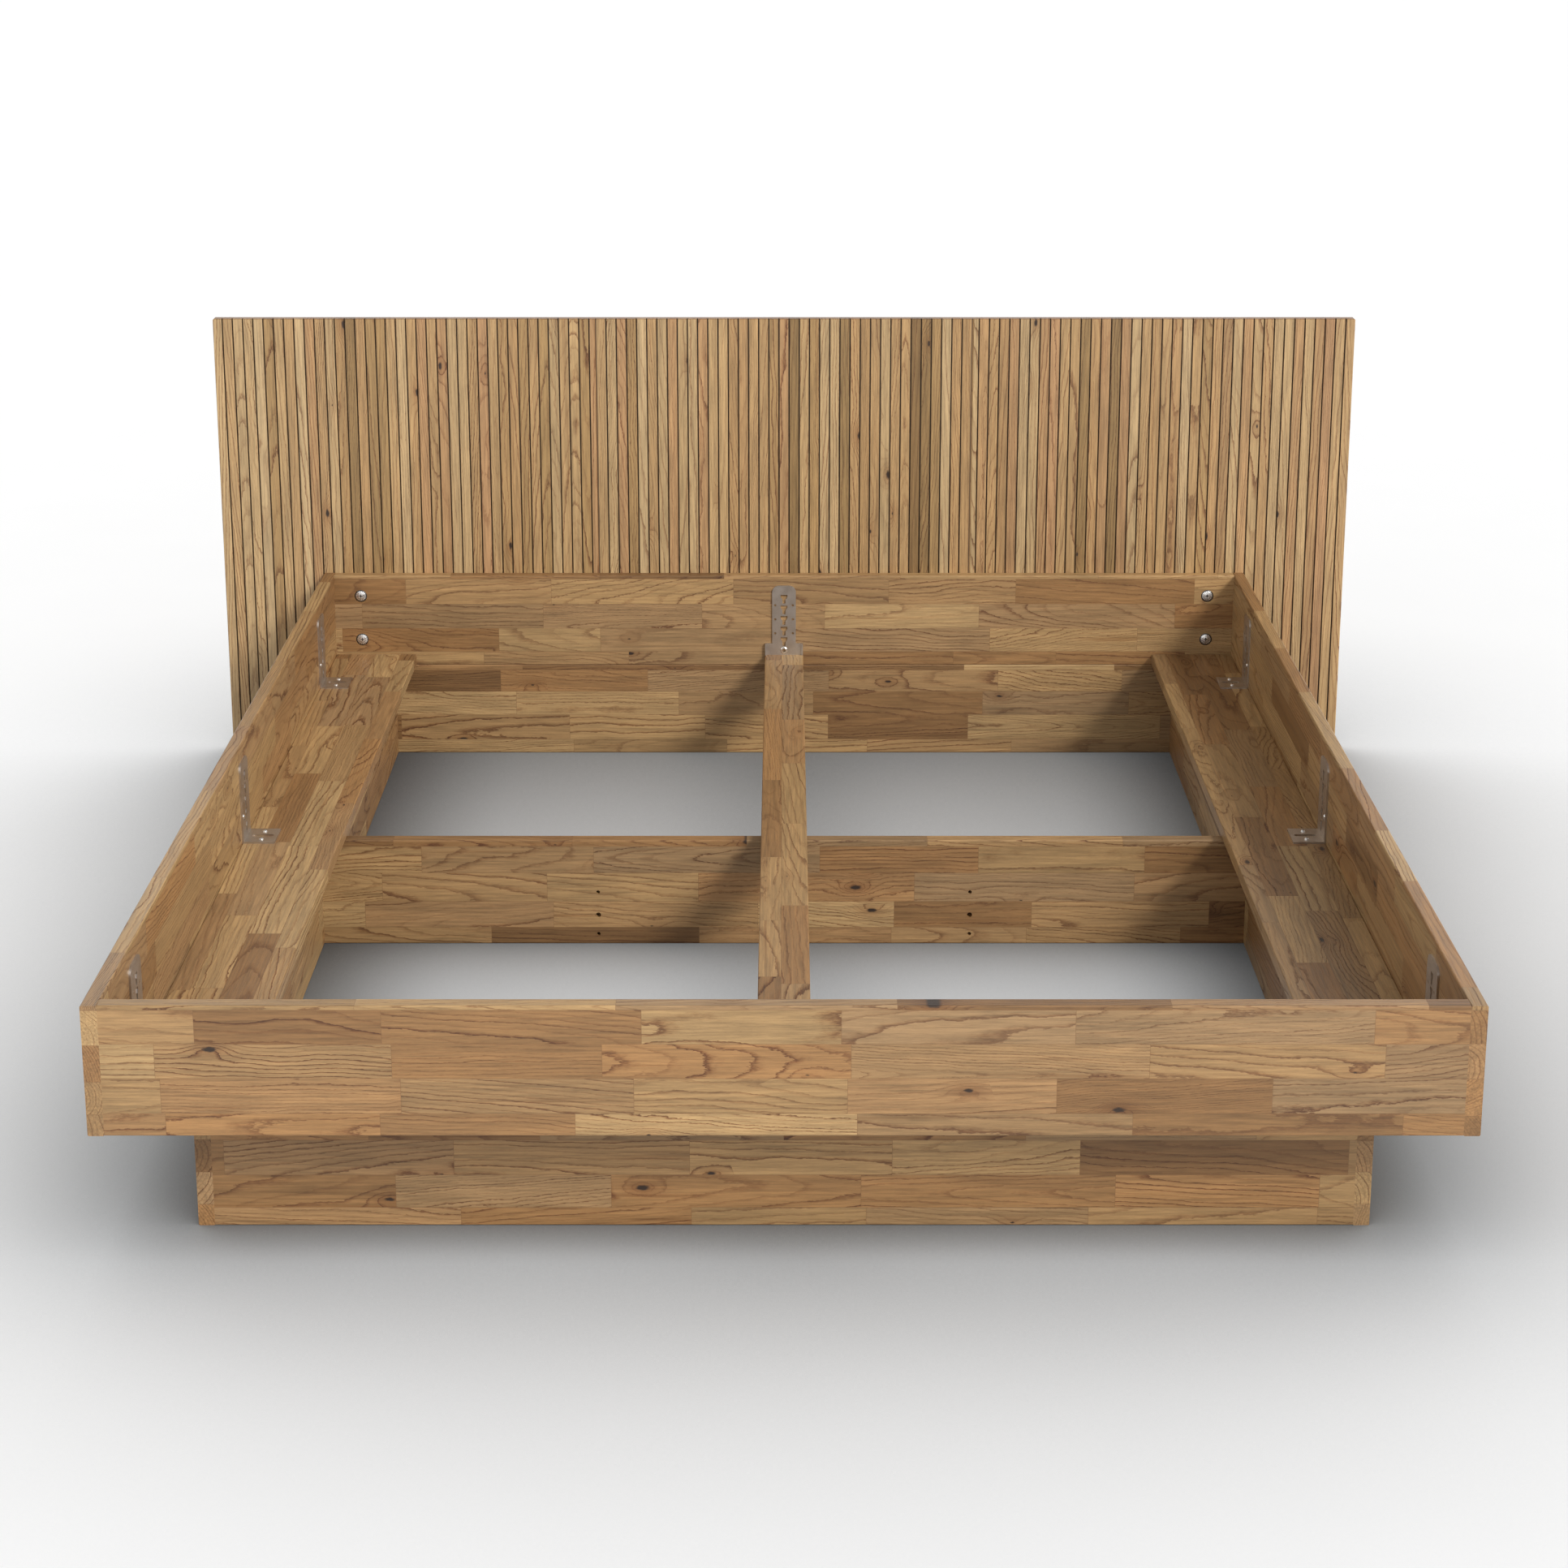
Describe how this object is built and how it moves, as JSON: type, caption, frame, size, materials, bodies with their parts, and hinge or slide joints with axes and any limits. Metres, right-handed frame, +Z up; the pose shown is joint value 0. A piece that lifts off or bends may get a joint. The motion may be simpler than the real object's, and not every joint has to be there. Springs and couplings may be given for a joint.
{
  "type": "bed frame",
  "caption": "Low double bed frame in oak glued board on a recessed base, with slotted support brackets, cam corner fittings and a wide grooved headboard.",
  "frame": {"origin": "on the floor, under the middle of the whole object's outline", "axes": "+Y from the foot of the bed towards the headboard, +Z up, +X to the right of someone who stands at the foot and looks at the headboard"},
  "size_m": [2.25, 2.088, 0.894],
  "materials": {
    "oak_board": "oiled natural oak glued board, satin",
    "oak_slats": "oiled natural oak slats with dark grooves, satin",
    "batten_wood": "plain sawn oak batten, matt",
    "dowel_beech": "plain turned beech, matt",
    "bracket_steel": "satin grey zinc-plated sheet steel",
    "zinc_steel": "bright zinc-plated steel",
    "cam_metal": "bright die-cast zinc"
  },
  "bodies": {
    "bed_frame": {"side_rail_left": "oak_board", "side_rail_right": "oak_board", "footboard": "oak_board", "head_rail": "oak_board", "base_front": "oak_board", "base_back": "oak_board", "base_cross": "oak_board", "base_side_left": "oak_board", "base_side_right": "oak_board", "support_board_left": "oak_board", "support_board_right": "oak_board", "centre_beam": "oak_board", "headboard_left": "oak_slats", "headboard_centre": "oak_slats", "headboard_right": "oak_slats", "batten_upper": "batten_wood", "batten_lower": "batten_wood", "centre_bracket_foot": "bracket_steel", "centre_bracket_head": "bracket_steel", "angle_bracket_left_foot": "bracket_steel", "angle_bracket_left_middle": "bracket_steel", "angle_bracket_left_head": "bracket_steel", "angle_bracket_right_foot": "bracket_steel", "angle_bracket_right_middle": "bracket_steel", "angle_bracket_right_head": "bracket_steel", "eyelet_foot": "zinc_steel", "eyelet_head": "zinc_steel", "angle_leg_screws": "zinc_steel", "angle_pan_screws": "zinc_steel", "angle_foot_screws": "zinc_steel", "centre_bracket_screws": "zinc_steel", "beam_screws": "zinc_steel", "base_screws": "zinc_steel", "batten_screws": "zinc_steel", "headboard_bolts": "zinc_steel", "cam_bolts_foot": "zinc_steel", "cam_bolts_head": "zinc_steel", "rail_dowels": "dowel_beech", "base_dowels": "dowel_beech", "board_dowels": "dowel_beech"},
    "cam_foot_left_upper_body": {"cam_foot_left_upper": "cam_metal"},
    "cam_foot_left_lower_body": {"cam_foot_left_lower": "cam_metal"},
    "cam_foot_right_upper_body": {"cam_foot_right_upper": "cam_metal"},
    "cam_foot_right_lower_body": {"cam_foot_right_lower": "cam_metal"},
    "cam_head_left_upper_body": {"cam_head_left_upper": "cam_metal"},
    "cam_head_left_lower_body": {"cam_head_left_lower": "cam_metal"},
    "cam_head_right_upper_body": {"cam_head_right_upper": "cam_metal"},
    "cam_head_right_lower_body": {"cam_head_right_lower": "cam_metal"}
  },
  "joints": [
    {"name": "cam_turn_foot_left_upper", "type": "hinge", "parent": "bed_frame", "child": "cam_foot_left_upper_body", "pos_m": [-0.85, -1.03025, 0.332], "axis": [0, 1, 0], "range_deg": [0, 180]},
    {"name": "cam_turn_foot_left_lower", "type": "hinge", "parent": "bed_frame", "child": "cam_foot_left_lower_body", "pos_m": [-0.85, -1.03025, 0.241], "axis": [0, 1, 0], "range_deg": [0, 180]},
    {"name": "cam_turn_foot_right_upper", "type": "hinge", "parent": "bed_frame", "child": "cam_foot_right_upper_body", "pos_m": [0.85, -1.03025, 0.332], "axis": [0, 1, 0], "range_deg": [0, 180]},
    {"name": "cam_turn_foot_right_lower", "type": "hinge", "parent": "bed_frame", "child": "cam_foot_right_lower_body", "pos_m": [0.85, -1.03025, 0.241], "axis": [0, 1, 0], "range_deg": [0, 180]},
    {"name": "cam_turn_head_left_upper", "type": "hinge", "parent": "bed_frame", "child": "cam_head_left_upper_body", "pos_m": [-0.85, 0.99225, 0.332], "axis": [0, -1, 0], "range_deg": [0, 180]},
    {"name": "cam_turn_head_left_lower", "type": "hinge", "parent": "bed_frame", "child": "cam_head_left_lower_body", "pos_m": [-0.85, 0.99225, 0.241], "axis": [0, -1, 0], "range_deg": [0, 180]},
    {"name": "cam_turn_head_right_upper", "type": "hinge", "parent": "bed_frame", "child": "cam_head_right_upper_body", "pos_m": [0.85, 0.99225, 0.332], "axis": [0, -1, 0], "range_deg": [0, 180]},
    {"name": "cam_turn_head_right_lower", "type": "hinge", "parent": "bed_frame", "child": "cam_head_right_lower_body", "pos_m": [0.85, 0.99225, 0.241], "axis": [0, -1, 0], "range_deg": [0, 180]}
  ]
}
